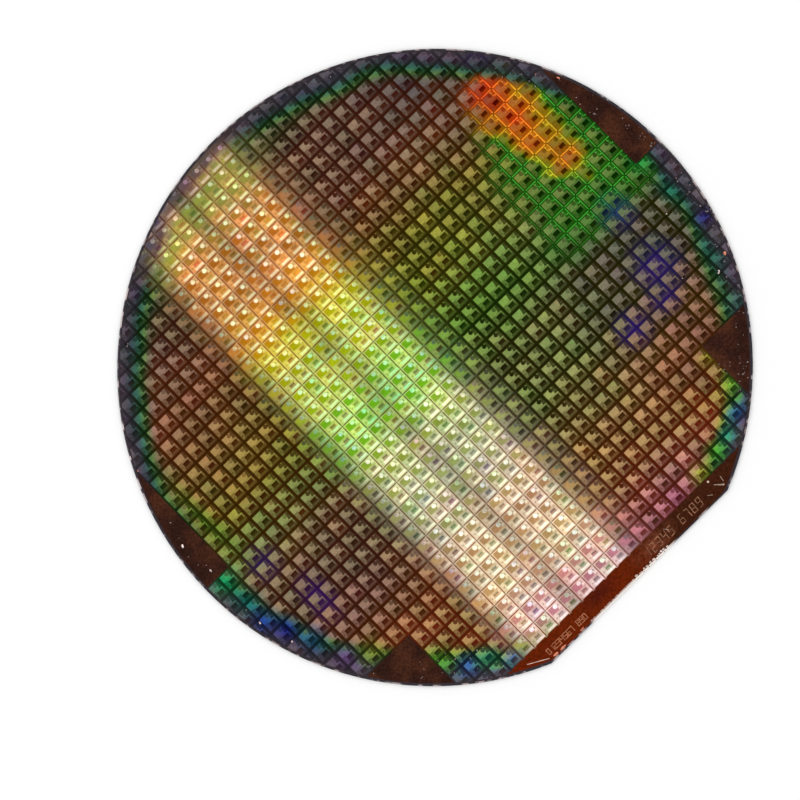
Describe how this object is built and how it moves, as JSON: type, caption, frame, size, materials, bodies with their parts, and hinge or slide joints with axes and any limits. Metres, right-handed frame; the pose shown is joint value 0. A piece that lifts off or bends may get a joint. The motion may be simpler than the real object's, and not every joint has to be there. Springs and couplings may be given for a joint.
{
  "type": "silicon wafer",
  "caption": "Thin round patterned silicon wafer with one straight primary flat and a ground, bevelled edge.",
  "frame": {"origin": "centre of the wafer's circle, on the back face", "axes": "+Z out of the patterned face, -Y out of the primary flat, +X along the flat"},
  "size_m": [0.15, 0.1443, 0.0007],
  "materials": {
    "silicon": "polished dark silicon under thin films, lapped grey back",
    "circuit_film": "thin metal and oxide pattern whose hue runs from violet and teal at the rim through green, yellow and orange"
  },
  "bodies": {
    "root": {"wafer": "silicon"}
  },
  "joints": []
}
